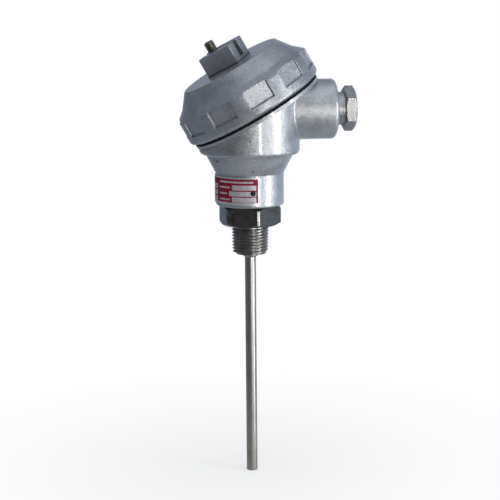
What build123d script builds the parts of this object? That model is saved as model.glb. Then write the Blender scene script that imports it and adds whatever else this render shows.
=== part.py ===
"""Temperature probe with a connection head: slanted cast housing, screw cap, cable gland,
hex nipple, metal sheath and the terminal block inside.

Millimetres. +Z runs up the probe axis into the head, +X runs out of the conduit boss, and
the origin is on the probe axis at the underside of the nipple's hexagon.
"""

import os
from math import cos, radians, sin, sqrt

from build123d import *

os.makedirs("parts", exist_ok=True)

# Clearances
SEAT = 0.05  # gap left round a piece that is seated and stays put
THREAD_GAP = 0.1  # radial gap of the gland's running thread
CAP_GAP = 0.3  # radial gap of the cap's coarse thread and of the loose rings

# Sheath and what it holds
SHEATH_R = 3.175
SHEATH_WALL = 0.9
SHEATH_END_WALL = 1.3
SHEATH_EDGE = 0.5
SHEATH_TIP_Z = -146.5
SHEATH_TOP_Z = 8.0
SPIGOT_R = 2.9  # the sheath's end, turned down to sit in the nipple
WIRE_R = 0.4
WIRE_PITCH = 2.0  # distance between the two wires in the insulation
BEAD_L = 2.8
CORE_SINK = 1.0  # how far the insulation stops below the sheath's open end

# Hex nipple, with a tapered thread at each end
HEX_AF = 32.0
HEX_H = 11.5
HEX_TURN = 37.1  # angle of a corner, from +X
HEX_CHAMFER = 1.9
HEX_FACE_R = 15.4
THREAD_BIG_R = 10.67
THREAD_TAPER = 1 / 16
THREAD_L = 16.8
THREAD_END_CHAMFER = 1.3
THREAD_NECK_L = 1.3
THREAD_NECK_R = 10.2
UPPER_THREAD_L = 13.0
WELD_R = 5.2
WELD_L = 2.0
WELD_LIP = 0.3
NIPPLE_BORE_R = 6.5
NIPPLE_BORE_Z = 2.0
SEAL_TOP_Z = 21.0

# Housing, from the neck up to the slanted face
NECK_R = 19.35
NECK_TOP_Z = 29.8
NECK_EDGE = 1.2
CONE_TOP_R = 25.0
BODY_R = 28.5
BODY_BOTTOM_Z = 40.5
BODY_EDGE = 2.6
NECK_BORE_L = 14.5
HOLLOW_NECK_R = 15.0
HOLLOW_CONE_Z = 31.0
HOLLOW_TOP_R = 20.5
CHAMBER_R = 24.5
LEDGE_Z = 44.0

# Slanted face, flange and threaded collar
TILT = 30.0
FACE_Z = 62.7  # height at which the face crosses the probe axis
FACE_SHIFT = 4.35  # how far up the slope the cap's axis lies from the probe axis
FLANGE_R = 39.2
FLANGE_T = 1.7
COLLAR_R = 36.2
COLLAR_WALL = 3.4
COLLAR_H = 13.0
GASKET_T = 1.5

# Screw cap, heights measured from the slanted face
CAP_R = 41.2
CAP_RIM_ROUND = 2.1
CAP_SKIRT_H = 16.2
CAP_SHOULDER_R = 36.0
CAP_SHOULDER_H = 20.6
CAP_TOP_R = 29.2
CAP_TOP_H = 29.4
CAP_WALL = 2.8
CAP_THREAD_END_H = 15.0
CAP_EDGE = 0.6
POCKETS = 11
POCKET_W = 14.6
POCKET_FLOOR_R = 39.55
POCKET_BOTTOM_H = 7.2
POCKET_TURN = -86.5  # angle of the pocket nearest the viewer, in the plane of the cap

# Slotted lug on the cap, and its screw
LUG_L = 21.0
LUG_W = 18.6
LUG_H = 11.3
LUG_TURN = -32.0
LUG_SLOT_W = 5.0
LUG_SLOT_H = 9.6
LUG_EDGE = 0.6
LUG_SCREW_R = 3.0
LUG_SCREW_OFFSET = -4.3
LUG_SCREW_STAND = 5.9
LUG_SCREW_SINK = 1.6
LUG_SCREW_SLOT_W = 1.0
LUG_SCREW_SLOT_H = 1.2

# Conduit boss and the gland in it
BOSS_R = 17.0
BOSS_Z = 65.0
BOSS_END_X = 49.0
BOSS_EDGE = 2.6
BOSS_ROOT = 1.5  # rounding where the boss grows out of the body
GLAND_BORE_R = 10.05
GLAND_SEAT_X = 27.5
ENTRY_R = 7.0
GROMMET_L = 7.0
GROMMET_BORE_R = 4.5
WASHER_T = 1.5
WASHER_BORE_R = 5.5
GLAND_TIGHTEN = 3.2  # room for the nut to be screwed further in
GLAND_THREAD_L = 7.2
GLAND_NECK_R = 9.35
GLAND_HEX_AF = 22.4
GLAND_HEX_X = 53.6
GLAND_HEX_L = 6.6
GLAND_CABLE_R = 5.0
GLAND_MOUTH = 0.8
GLAND_CHAMFER = 1.2

# Nameplate round the neck
PLATE_T = 0.5
PLATE_BOTTOM_Z = 13.4
PLATE_TOP_Z = 29.0
PLATE_START = 136.0
PLATE_END = 281.0
PLATE_RIVET_INSET = 13.0
PLATE_RIVET_Z = 20.3
RIVET_R = 1.2
RIVET_HEAD_R = 1.5
RIVET_HEAD_H = 0.7
RIVET_L = 3.0

# Terminal block and what is on it
BLOCK_R = 22.8
BLOCK_H = 8.0
BLOCK_HOLE_R = 5.0
BLOCK_BARRIER_H = 6.0
BLOCK_BARRIER_T = 2.4
BLOCK_EDGE = 0.6
BLOCK_SCREW_SPACING = 33.0
BLOCK_SCREW_BOSS_R = 4.2
BLOCK_SCREW_BOSS_Z = 33.0
BLOCK_SCREW_L = 15.0
BLOCK_SCREW_RECESS = 2.0
BAR_L = 27.0
BAR_W = 7.0
BAR_H = 6.0
BAR_SINK = 2.0
BAR_OFFSET = 8.0
TERMINAL_SPACING = 16.0
M4_R = 1.95
M4_HEAD_R = 3.4
M4_HEAD_H = 2.6
M4_SLOT_W = 1.0
M4_SLOT_H = 1.2
CLAMP_WASHER_T = 0.8
TERMINAL_SCREW_L = 5.0
WIRE_EXIT_BEND_R = 2.0
WIRE_FLARE_R = 8.0
WIRE_STRAIGHT_L = 3.0  # from the seal to where the wires part
WIRE_PART_L = 10.0  # over which they part
WIRE_PART_Y = 3.0  # from the probe axis, once they have parted
WIRE_REACH = 2.4  # how far a wire runs into its bar
HOLE_ROOM = 1.0  # depth left under the tip of a screw or rivet

# Planes and heights that follow from the sizes above
tilt = radians(TILT)
slope = Vector(cos(tilt), 0, sin(tilt))
cap_axis = Vector(-sin(tilt), 0, cos(tilt))
face_plane = Plane(
    origin=Vector(0, 0, FACE_Z) + slope * FACE_SHIFT, x_dir=slope, z_dir=cap_axis
)
cap_base_h = GASKET_T + 2 * SEAT
gland_plane = Plane(origin=(0, 0, BOSS_Z), x_dir=(0, 1, 0), z_dir=(1, 0, 0))
core_top_z = SHEATH_TOP_Z - CORE_SINK
plate_in_r = NECK_R + SEAT
plate_out_r = plate_in_r + PLATE_T
rivet_angles = {
    "nameplate_rivet_rear": PLATE_START + PLATE_RIVET_INSET,
    "nameplate_rivet_front": PLATE_END - PLATE_RIVET_INSET,
}
block_top_z = LEDGE_Z + BLOCK_H
bar_top_z = block_top_z - BAR_SINK + BAR_H
upper_thread_top_z = HEX_H + UPPER_THREAD_L


def thread_radius(run):
    """Crest radius of the tapered thread, at a distance from the hexagon."""
    return THREAD_BIG_R - run * THREAD_TAPER / 2


def rivet_plane(angle):
    """Plane that touches the outside of the nameplate at a rivet, and faces outwards."""
    outwards = Vector(cos(radians(angle)), sin(radians(angle)), 0)
    return Plane(origin=outwards * plate_out_r + Vector(0, 0, PLATE_RIVET_Z), z_dir=outwards)


def finish(part, label):
    """Names a finished piece and writes its file."""
    part.label = label
    export_step(part, f"parts/{label}.step")


# Housing: neck, cone and body are turned, and the boss and slanted flange join them
with BuildPart() as housing:
    with BuildSketch(Plane.XZ):
        with BuildLine():
            Line((0, HEX_H), (NECK_R - NECK_EDGE, HEX_H))
            RadiusArc(
                (NECK_R - NECK_EDGE, HEX_H), (NECK_R, HEX_H + NECK_EDGE), -NECK_EDGE
            )
            Polyline(
                (NECK_R, HEX_H + NECK_EDGE),
                (NECK_R, NECK_TOP_Z),
                (CONE_TOP_R, BODY_BOTTOM_Z),
                (BODY_R - BODY_EDGE, BODY_BOTTOM_Z),
            )
            RadiusArc(
                (BODY_R - BODY_EDGE, BODY_BOTTOM_Z),
                (BODY_R, BODY_BOTTOM_Z + BODY_EDGE),
                -BODY_EDGE,
            )
            Polyline(
                (BODY_R, BODY_BOTTOM_Z + BODY_EDGE),
                (BODY_R, FACE_Z + BODY_R),
                (0, FACE_Z + BODY_R),
                (0, HEX_H),
            )
        make_face()
    revolve(axis=Axis.Z)
    with BuildSketch(gland_plane):
        Circle(BOSS_R)
    extrude(amount=BOSS_END_X)
    boss_end = housing.edges().filter_by(GeomType.CIRCLE).group_by(Axis.X)[-1]
    fillet(boss_end, BOSS_EDGE)
    boss_root = housing.edges().filter_by(GeomType.BSPLINE)
    fillet(boss_root, BOSS_ROOT)
    split(bisect_by=face_plane, keep=Keep.BOTTOM)
    with BuildSketch(face_plane):
        Circle(FLANGE_R)
    extrude(amount=-FLANGE_T)
    with BuildSketch(face_plane):
        Circle(COLLAR_R)
    extrude(amount=COLLAR_H)
    # Hollow of the collar, the chamber under it, and the space down to the nipple
    with BuildSketch(face_plane):
        Circle(COLLAR_R - COLLAR_WALL)
    extrude(amount=COLLAR_H, mode=Mode.SUBTRACT)
    with BuildSketch(Plane.XY.offset(LEDGE_Z)):
        Circle(CHAMBER_R)
    extrude(amount=FACE_Z, mode=Mode.SUBTRACT)
    with BuildSketch(Plane.XZ):
        with BuildLine():
            Polyline(
                (0, HEX_H + NECK_BORE_L),
                (HOLLOW_NECK_R, HEX_H + NECK_BORE_L),
                (HOLLOW_NECK_R, HOLLOW_CONE_Z),
                (HOLLOW_TOP_R, BODY_BOTTOM_Z),
                (HOLLOW_TOP_R, LEDGE_Z),
                (0, LEDGE_Z),
                close=True,
            )
        make_face()
    revolve(axis=Axis.Z, mode=Mode.SUBTRACT)
    with BuildSketch(Plane.XZ):
        with BuildLine():
            Polyline(
                (0, HEX_H),
                (thread_radius(0) + SEAT, HEX_H),
                (thread_radius(NECK_BORE_L) + SEAT, HEX_H + NECK_BORE_L),
                (0, HEX_H + NECK_BORE_L),
                close=True,
            )
        make_face()
    revolve(axis=Axis.Z, mode=Mode.SUBTRACT)
    # Bore for the gland, with a seat for the grommet and a way into the chamber
    with BuildSketch(gland_plane.offset(GLAND_SEAT_X)):
        Circle(GLAND_BORE_R)
    extrude(amount=BOSS_END_X - GLAND_SEAT_X, mode=Mode.SUBTRACT)
    with BuildSketch(gland_plane.offset(CHAMBER_R / 2)):
        Circle(ENTRY_R)
    extrude(amount=GLAND_SEAT_X - CHAMBER_R / 2, mode=Mode.SUBTRACT)
    # Two bosses that the terminal block is screwed to
    with BuildSketch(Plane.XY.offset(BLOCK_SCREW_BOSS_Z)):
        with GridLocations(0, BLOCK_SCREW_SPACING, 1, 2):
            Circle(BLOCK_SCREW_BOSS_R)
    extrude(amount=LEDGE_Z - BLOCK_SCREW_BOSS_Z)
    with Locations(Plane.XY.offset(LEDGE_Z)):
        with GridLocations(0, BLOCK_SCREW_SPACING, 1, 2):
            Hole(M4_R + SEAT, depth=BLOCK_SCREW_L - BLOCK_H + HOLE_ROOM)
    # Rivet holes under the nameplate
    for rivet_angle in rivet_angles.values():
        with BuildSketch(rivet_plane(rivet_angle)):
            Circle(RIVET_R + SEAT)
        extrude(amount=-RIVET_L - HOLE_ROOM, mode=Mode.SUBTRACT)
finish(housing.part, "housing")

# Screw cap: a turned bell with square pockets round its skirt and a slotted lug on top
with BuildPart() as screw_cap:
    with BuildSketch(Plane.XZ):
        with BuildLine():
            Line((0, cap_base_h), (CAP_R - CAP_RIM_ROUND, cap_base_h))
            RadiusArc(
                (CAP_R - CAP_RIM_ROUND, cap_base_h),
                (CAP_R, cap_base_h + CAP_RIM_ROUND),
                -CAP_RIM_ROUND,
            )
            Polyline(
                (CAP_R, cap_base_h + CAP_RIM_ROUND),
                (CAP_R, CAP_SKIRT_H),
                (CAP_SHOULDER_R, CAP_SHOULDER_H),
                (CAP_TOP_R, CAP_TOP_H),
                (0, CAP_TOP_H),
                (0, cap_base_h),
            )
        make_face()
    revolve(axis=Axis.Z)
    outer_rings = screw_cap.edges().filter_by(GeomType.CIRCLE).group_by(Axis.Z)[-3:]
    fillet([ring for level in outer_rings for ring in level], CAP_EDGE)
    with BuildSketch(Plane.XZ):
        with BuildLine():
            Polyline(
                (0, cap_base_h),
                (COLLAR_R + CAP_GAP, cap_base_h),
                (COLLAR_R + CAP_GAP, CAP_THREAD_END_H),
                (CAP_SHOULDER_R - CAP_WALL, CAP_SHOULDER_H - CAP_WALL),
                (CAP_TOP_R - CAP_WALL, CAP_TOP_H - CAP_WALL),
                (0, CAP_TOP_H - CAP_WALL),
                close=True,
            )
        make_face()
    revolve(axis=Axis.Z, mode=Mode.SUBTRACT)
    with BuildSketch(Plane.XY.offset(POCKET_BOTTOM_H)):
        with PolarLocations(CAP_R, POCKETS, start_angle=POCKET_TURN):
            Rectangle(2 * (CAP_R - POCKET_FLOOR_R), POCKET_W)
    extrude(amount=CAP_SHOULDER_H - POCKET_BOTTOM_H, mode=Mode.SUBTRACT)
    with BuildSketch(Plane.XY.offset(CAP_TOP_H)):
        Rectangle(LUG_L, LUG_W, rotation=LUG_TURN)
    extrude(amount=LUG_H)
    lug_corners = screw_cap.faces().sort_by(Axis.Z)[-1].outer_wire().edges()
    fillet(lug_corners, LUG_EDGE)
    with BuildSketch(Plane.XY.offset(CAP_TOP_H + LUG_H - LUG_SLOT_H)):
        Rectangle(2 * LUG_L, LUG_SLOT_W, rotation=LUG_TURN)
    extrude(amount=LUG_SLOT_H, mode=Mode.SUBTRACT)
    with BuildSketch(Plane.XY.offset(CAP_TOP_H + LUG_H - LUG_SLOT_H - LUG_SCREW_SINK)):
        with Locations(Location((0, 0), LUG_TURN)):
            with Locations((LUG_SCREW_OFFSET, 0)):
                Circle(LUG_SCREW_R + SEAT)
    extrude(amount=LUG_SLOT_H + LUG_SCREW_SINK, mode=Mode.SUBTRACT)
finish(face_plane.location * screw_cap.part, "screw_cap")

# Flat gasket between the flange and the cap
with BuildPart() as cap_gasket:
    with BuildSketch(Plane.XY.offset(SEAT)):
        Circle(FLANGE_R)
        Circle(COLLAR_R + CAP_GAP, mode=Mode.SUBTRACT)
    extrude(amount=GASKET_T)
finish(face_plane.location * cap_gasket.part, "cap_gasket")

# Slotted stud that stands in the lug
with BuildPart() as cap_lug_screw:
    with BuildSketch(Plane.XY.offset(CAP_TOP_H + LUG_H - LUG_SLOT_H - LUG_SCREW_SINK)):
        with Locations(Location((0, 0), LUG_TURN)):
            with Locations((LUG_SCREW_OFFSET, 0)):
                Circle(LUG_SCREW_R)
    extrude(amount=LUG_SLOT_H + LUG_SCREW_SINK + LUG_SCREW_STAND)
    chamfer(cap_lug_screw.edges().filter_by(GeomType.CIRCLE), LUG_EDGE)
    with BuildSketch(Plane.XY.offset(CAP_TOP_H + LUG_H + LUG_SCREW_STAND)):
        with Locations(Location((0, 0), LUG_TURN)):
            with Locations((LUG_SCREW_OFFSET, 0)):
                Rectangle(3 * LUG_SCREW_R, LUG_SCREW_SLOT_W)
    extrude(amount=-LUG_SCREW_SLOT_H, mode=Mode.SUBTRACT)
finish(face_plane.location * cap_lug_screw.part, "cap_lug_screw")

# Gland, from the seat in the boss outwards: grommet, washer and nut
with BuildPart() as gland_grommet:
    with BuildSketch(gland_plane.offset(GLAND_SEAT_X)):
        Circle(GLAND_BORE_R - CAP_GAP)
        Circle(GROMMET_BORE_R, mode=Mode.SUBTRACT)
    extrude(amount=GROMMET_L)
finish(gland_grommet.part, "gland_grommet")

washer_x = GLAND_SEAT_X + GROMMET_L + GLAND_TIGHTEN
with BuildPart() as gland_washer:
    with BuildSketch(gland_plane.offset(washer_x)):
        Circle(GLAND_BORE_R - CAP_GAP)
        Circle(WASHER_BORE_R, mode=Mode.SUBTRACT)
    extrude(amount=WASHER_T)
finish(gland_washer.part, "gland_washer")

gland_nut_x = washer_x + WASHER_T + SEAT
gland_hex_corner_r = GLAND_HEX_AF / sqrt(3)
gland_hex_end_x = GLAND_HEX_X + GLAND_HEX_L
with BuildPart() as gland_nut:
    with BuildSketch(gland_plane.offset(gland_nut_x)):
        Circle(GLAND_BORE_R - THREAD_GAP)
    extrude(amount=GLAND_THREAD_L)
    chamfer(gland_nut.edges().group_by(Axis.X)[0], GLAND_MOUTH)
    with BuildSketch(gland_plane.offset(gland_nut_x + GLAND_THREAD_L)):
        Circle(GLAND_NECK_R)
    extrude(amount=GLAND_HEX_X - gland_nut_x - GLAND_THREAD_L)
    with BuildSketch(gland_plane.offset(GLAND_HEX_X)):
        RegularPolygon(gland_hex_corner_r, 6, rotation=90)
    extrude(amount=GLAND_HEX_L)
    # Both rims of the hexagon are turned off at a slant
    with BuildSketch(Plane.XZ.shift_origin((0, 0, BOSS_Z))):
        with BuildLine():
            Polyline(
                (gland_nut_x, 0),
                (gland_nut_x, GLAND_NECK_R + GLAND_CHAMFER),
                (GLAND_HEX_X, GLAND_NECK_R + GLAND_CHAMFER),
                (GLAND_HEX_X + GLAND_CHAMFER, gland_hex_corner_r),
                (gland_hex_end_x - GLAND_CHAMFER, gland_hex_corner_r),
                (gland_hex_end_x, GLAND_NECK_R + GLAND_CHAMFER),
                (gland_hex_end_x, 0),
                close=True,
            )
        make_face()
    revolve(axis=Axis((0, 0, BOSS_Z), (1, 0, 0)), mode=Mode.INTERSECT)
    with BuildSketch(gland_plane.offset(gland_nut_x)):
        Circle(GLAND_CABLE_R)
    extrude(amount=gland_hex_end_x - gland_nut_x, mode=Mode.SUBTRACT)
    gland_mouth = (
        gland_nut.edges()
        .filter_by(GeomType.CIRCLE)
        .filter_by(lambda edge: edge.radius < GLAND_CABLE_R + SEAT)
        .sort_by(Axis.X)[-1]
    )
    chamfer(gland_mouth, GLAND_MOUTH)
finish(gland_nut.part, "gland_nut")

# Nameplate rolled round the neck, and a rivet near each end
with BuildPart() as nameplate:
    with BuildSketch(Plane.XZ.rotated((0, 0, PLATE_START))):
        with Locations((plate_in_r + PLATE_T / 2, (PLATE_BOTTOM_Z + PLATE_TOP_Z) / 2)):
            Rectangle(PLATE_T, PLATE_TOP_Z - PLATE_BOTTOM_Z)
    revolve(axis=Axis.Z, revolution_arc=PLATE_END - PLATE_START)
    for rivet_angle in rivet_angles.values():
        with BuildSketch(rivet_plane(rivet_angle)):
            Circle(RIVET_R + SEAT)
        extrude(amount=-2 * PLATE_T, mode=Mode.SUBTRACT)
finish(nameplate.part, "nameplate")

for rivet_name, rivet_angle in rivet_angles.items():
    with BuildPart() as rivet:
        with BuildSketch(rivet_plane(rivet_angle).offset(SEAT)):
            Circle(RIVET_R)
        extrude(amount=-RIVET_L)
        with BuildSketch(rivet_plane(rivet_angle).offset(SEAT)):
            Circle(RIVET_HEAD_R)
        extrude(amount=RIVET_HEAD_H, taper=35)
    finish(rivet.part, rivet_name)

# Hex nipple: hexagon, a tapered thread each way, and the weld that holds the sheath
with BuildPart() as hex_nipple:
    with BuildSketch():
        RegularPolygon(HEX_AF / sqrt(3), 6, rotation=HEX_TURN)
    extrude(amount=HEX_H)
    with BuildSketch(Plane.XZ):
        with BuildLine():
            Polyline(
                (0, 0),
                (HEX_FACE_R, 0),
                (HEX_AF / sqrt(3), HEX_CHAMFER),
                (HEX_AF / sqrt(3), HEX_H - HEX_CHAMFER),
                (HEX_FACE_R, HEX_H),
                (0, HEX_H),
                close=True,
            )
        make_face()
    revolve(axis=Axis.Z, mode=Mode.INTERSECT)
    with BuildSketch(Plane.XZ):
        with BuildLine():
            Polyline(
                (0, -THREAD_L - WELD_L),
                (SHEATH_R + WELD_LIP, -THREAD_L - WELD_L),
                (WELD_R, -THREAD_L),
                (thread_radius(THREAD_L) - THREAD_END_CHAMFER, -THREAD_L),
                (thread_radius(THREAD_L), THREAD_END_CHAMFER - THREAD_L),
                (thread_radius(THREAD_NECK_L), -THREAD_NECK_L),
                (THREAD_NECK_R, -THREAD_NECK_L),
                (THREAD_NECK_R, 0),
                (0, 0),
                close=True,
            )
        make_face()
    revolve(axis=Axis.Z)
    with BuildSketch(Plane.XZ):
        with BuildLine():
            Polyline(
                (0, HEX_H),
                (thread_radius(0), HEX_H),
                (thread_radius(UPPER_THREAD_L), upper_thread_top_z),
                (0, upper_thread_top_z),
                close=True,
            )
        make_face()
    revolve(axis=Axis.Z)
    with BuildSketch(Plane.XY.offset(-THREAD_L - WELD_L)):
        Circle(SPIGOT_R + SEAT)
    extrude(amount=THREAD_L + WELD_L + NIPPLE_BORE_Z, mode=Mode.SUBTRACT)
    with BuildSketch(Plane.XY.offset(NIPPLE_BORE_Z)):
        Circle(NIPPLE_BORE_R)
    extrude(amount=upper_thread_top_z - NIPPLE_BORE_Z, mode=Mode.SUBTRACT)
finish(hex_nipple.part, "hex_nipple")

# Sheath: a tube with a closed end, turned down where it is welded into the nipple
sheath_in_r = SHEATH_R - SHEATH_WALL
core_bottom_z = SHEATH_TIP_Z + SHEATH_END_WALL + BEAD_L
with BuildPart() as sheath_tube:
    with BuildSketch(Plane.XY.offset(SHEATH_TIP_Z)):
        Circle(SHEATH_R)
    extrude(amount=-THREAD_L - WELD_L - SHEATH_TIP_Z)
    with BuildSketch(Plane.XY.offset(-THREAD_L - WELD_L)):
        Circle(SPIGOT_R)
    extrude(amount=SHEATH_TOP_Z + THREAD_L + WELD_L)
    fillet(sheath_tube.edges().group_by(Axis.Z)[0], SHEATH_EDGE)
    with BuildSketch(Plane.XY.offset(SHEATH_TIP_Z + SHEATH_END_WALL)):
        Circle(sheath_in_r)
    extrude(amount=SHEATH_TOP_Z - SHEATH_TIP_Z - SHEATH_END_WALL, mode=Mode.SUBTRACT)
finish(sheath_tube.part, "sheath_tube")

with BuildPart() as hot_junction:
    with BuildSketch(Plane.XY.offset(SHEATH_TIP_Z + SHEATH_END_WALL)):
        Circle(sheath_in_r - SEAT)
    extrude(amount=BEAD_L)
finish(hot_junction.part, "hot_junction")

with BuildPart() as insulation_core:
    with BuildSketch(Plane.XY.offset(core_bottom_z)):
        Circle(sheath_in_r - SEAT)
        with GridLocations(0, WIRE_PITCH, 1, 2):
            Circle(WIRE_R + SEAT, mode=Mode.SUBTRACT)
    extrude(amount=core_top_z - core_bottom_z)
finish(insulation_core.part, "insulation_core")

# Seal cast round the sheath's open end, inside the nipple
with BuildPart() as lead_seal:
    with BuildSketch(Plane.XY.offset(NIPPLE_BORE_Z)):
        Circle(NIPPLE_BORE_R - SEAT)
        Circle(SPIGOT_R + SEAT, mode=Mode.SUBTRACT)
    extrude(amount=SHEATH_TOP_Z - NIPPLE_BORE_Z)
    with BuildSketch(Plane.XY.offset(SHEATH_TOP_Z)):
        Circle(NIPPLE_BORE_R - SEAT)
        with GridLocations(0, WIRE_PITCH, 1, 2):
            Circle(WIRE_R + SEAT, mode=Mode.SUBTRACT)
    extrude(amount=SEAL_TOP_Z - SHEATH_TOP_Z)
finish(lead_seal.part, "lead_seal")

# Terminal block: a ceramic disc with grooves, barriers and two recessed screw holes
groove_z = block_top_z - BAR_SINK
with BuildPart() as terminal_block:
    with BuildSketch(Plane.XY.offset(LEDGE_Z)):
        Circle(BLOCK_R)
    extrude(amount=BLOCK_H)
    chamfer(terminal_block.edges(), BLOCK_EDGE)
    with BuildSketch(Plane.XY.offset(block_top_z)):
        Rectangle(2 * BLOCK_R - 2 * BLOCK_BARRIER_T, BLOCK_BARRIER_T)
    extrude(amount=BLOCK_BARRIER_H)
    with BuildSketch(Plane.XY.offset(LEDGE_Z)):
        Circle(BLOCK_HOLE_R)
    extrude(amount=BLOCK_H + BLOCK_BARRIER_H, mode=Mode.SUBTRACT)
    with BuildSketch(Plane.XY.offset(groove_z)):
        with GridLocations(0, 2 * BAR_OFFSET, 1, 2):
            Rectangle(BAR_L + 2 * SEAT, BAR_W + 2 * SEAT)
    extrude(amount=BAR_SINK, mode=Mode.SUBTRACT)
    with Locations(Plane.XY.offset(block_top_z)):
        with GridLocations(0, BLOCK_SCREW_SPACING, 1, 2):
            CounterBoreHole(
                M4_R + CAP_GAP, M4_HEAD_R + CAP_GAP, BLOCK_SCREW_RECESS, BLOCK_H
            )
finish(terminal_block.part, "terminal_block")

# Two brass bars, each with a screw and washer at both ends and a hole for its wire
wire_z = block_top_z + (bar_top_z - block_top_z) / 2
bar_inner_y = BAR_OFFSET - BAR_W / 2
wire_part_z = SEAL_TOP_Z + WIRE_STRAIGHT_L
for side, polarity in ((1, "plus"), (-1, "minus")):
    with BuildPart() as terminal_bar:
        with BuildSketch(Plane.XY.offset(groove_z)):
            with Locations((0, side * BAR_OFFSET)):
                Rectangle(BAR_L, BAR_W)
        extrude(amount=BAR_H)
        fillet(terminal_bar.edges().filter_by(Axis.Z), BLOCK_EDGE)
        with Locations(Plane.XY.offset(bar_top_z)):
            with Locations((0, side * BAR_OFFSET)):
                with GridLocations(TERMINAL_SPACING, 0, 2, 1):
                    Hole(M4_R + SEAT, depth=TERMINAL_SCREW_L)
        with BuildSketch(Plane.XZ.offset(-side * (bar_inner_y + WIRE_REACH + SEAT))):
            with Locations((0, wire_z)):
                Circle(WIRE_R + SEAT)
        extrude(amount=side * (WIRE_REACH + 2 * SEAT), mode=Mode.SUBTRACT)
    finish(terminal_bar.part, f"terminal_bar_{polarity}")

    with BuildPart() as thermo_wire:
        with BuildLine():
            FilletPolyline(
                (0, side * WIRE_PITCH / 2, core_bottom_z),
                (0, side * WIRE_PITCH / 2, wire_part_z),
                (0, side * WIRE_PART_Y, wire_part_z + WIRE_PART_L),
                (0, side * WIRE_PART_Y, wire_z),
                (0, side * (bar_inner_y + WIRE_REACH), wire_z),
                radius=[WIRE_FLARE_R, WIRE_FLARE_R, WIRE_EXIT_BEND_R],
            )
        with BuildSketch(
            Plane(origin=(0, side * WIRE_PITCH / 2, core_bottom_z), z_dir=(0, 0, 1))
        ):
            Circle(WIRE_R)
        sweep()
    finish(thermo_wire.part, f"thermo_wire_{polarity}")

    with BuildPart() as block_screw:
        with BuildSketch(Plane.XY.offset(block_top_z - BLOCK_SCREW_RECESS)):
            with Locations((0, side * BLOCK_SCREW_SPACING / 2)):
                Circle(M4_HEAD_R)
        extrude(amount=M4_HEAD_H)
        fillet(block_screw.edges().group_by(Axis.Z)[-1], BLOCK_EDGE)
        with BuildSketch(Plane.XY.offset(block_top_z - BLOCK_SCREW_RECESS)):
            with Locations((0, side * BLOCK_SCREW_SPACING / 2)):
                Circle(M4_R)
        extrude(amount=-BLOCK_SCREW_L + BLOCK_SCREW_RECESS)
        with BuildSketch(
            Plane.XY.offset(block_top_z - BLOCK_SCREW_RECESS + M4_HEAD_H)
        ):
            with Locations((0, side * BLOCK_SCREW_SPACING / 2)):
                Rectangle(3 * M4_HEAD_R, M4_SLOT_W)
        extrude(amount=-M4_SLOT_H, mode=Mode.SUBTRACT)
    finish(block_screw.part, f"block_screw_{polarity}")

    for end, end_name in ((-1, "left"), (1, "right")):
        screw_xy = (end * TERMINAL_SPACING / 2, side * BAR_OFFSET)
        with BuildPart() as clamp_washer:
            with BuildSketch(Plane.XY.offset(bar_top_z)):
                with Locations(screw_xy):
                    Circle(M4_HEAD_R)
                    Circle(M4_R + SEAT, mode=Mode.SUBTRACT)
            extrude(amount=CLAMP_WASHER_T)
        finish(clamp_washer.part, f"clamp_washer_{polarity}_{end_name}")

        head_z = bar_top_z + CLAMP_WASHER_T
        with BuildPart() as terminal_screw:
            with BuildSketch(Plane.XY.offset(head_z)):
                with Locations(screw_xy):
                    Circle(M4_HEAD_R)
            extrude(amount=M4_HEAD_H)
            fillet(terminal_screw.edges().group_by(Axis.Z)[-1], BLOCK_EDGE)
            with BuildSketch(Plane.XY.offset(head_z)):
                with Locations(screw_xy):
                    Circle(M4_R)
            extrude(amount=-TERMINAL_SCREW_L)
            with BuildSketch(Plane.XY.offset(head_z + M4_HEAD_H)):
                with Locations(screw_xy):
                    Rectangle(3 * M4_HEAD_R, M4_SLOT_W)
            extrude(amount=-M4_SLOT_H, mode=Mode.SUBTRACT)
        finish(terminal_screw.part, f"terminal_screw_{polarity}_{end_name}")
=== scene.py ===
"""Looks of the temperature probe with its slanted connection head.

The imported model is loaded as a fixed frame. This script gives every piece its finish, and builds
the pieces whose looks need a finer mesh than the frame has: the threaded nipple, the printed
nameplate with its rivets, the pocketed cap, the threaded stud in its lug and the thread on the
collar.

Sizes are millimetres in the frame's own axes: +Z up the probe into the head, +X out of the
conduit boss, and the origin on the probe axis at the underside of the nipple's hexagon.
"""

import logging
import math
from dataclasses import dataclass, field
from enum import Enum
from typing import Callable, Optional, Sequence, Union

import bmesh
import bpy
import numpy as np
from mathutils import Matrix, Vector

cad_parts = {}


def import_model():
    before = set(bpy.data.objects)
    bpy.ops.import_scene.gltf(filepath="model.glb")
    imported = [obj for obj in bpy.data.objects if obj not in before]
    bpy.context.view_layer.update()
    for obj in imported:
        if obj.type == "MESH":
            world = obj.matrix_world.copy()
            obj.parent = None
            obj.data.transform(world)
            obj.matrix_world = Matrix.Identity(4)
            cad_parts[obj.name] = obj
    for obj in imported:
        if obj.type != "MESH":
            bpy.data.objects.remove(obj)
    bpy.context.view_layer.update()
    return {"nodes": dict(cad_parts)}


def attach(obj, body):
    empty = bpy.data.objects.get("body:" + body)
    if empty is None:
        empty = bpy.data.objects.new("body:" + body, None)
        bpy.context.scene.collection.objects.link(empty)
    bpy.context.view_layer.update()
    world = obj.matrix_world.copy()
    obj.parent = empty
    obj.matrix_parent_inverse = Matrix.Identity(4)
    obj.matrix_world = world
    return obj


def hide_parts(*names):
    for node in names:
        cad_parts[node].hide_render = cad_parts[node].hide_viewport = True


MM = 0.001

Rgb = tuple[float, float, float]
Pair = tuple[float, float]
Array = np.ndarray
Piece = bpy.types.Object
Node = bpy.types.Node
Socket = bpy.types.NodeSocket
Input = Union[Socket, float, Sequence[float]]

log = logging.getLogger("probe")


class Body(str, Enum):
    """The frame's bodies that the new pieces ride on."""

    HEAD = "head"
    CAP = "cap"


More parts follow.
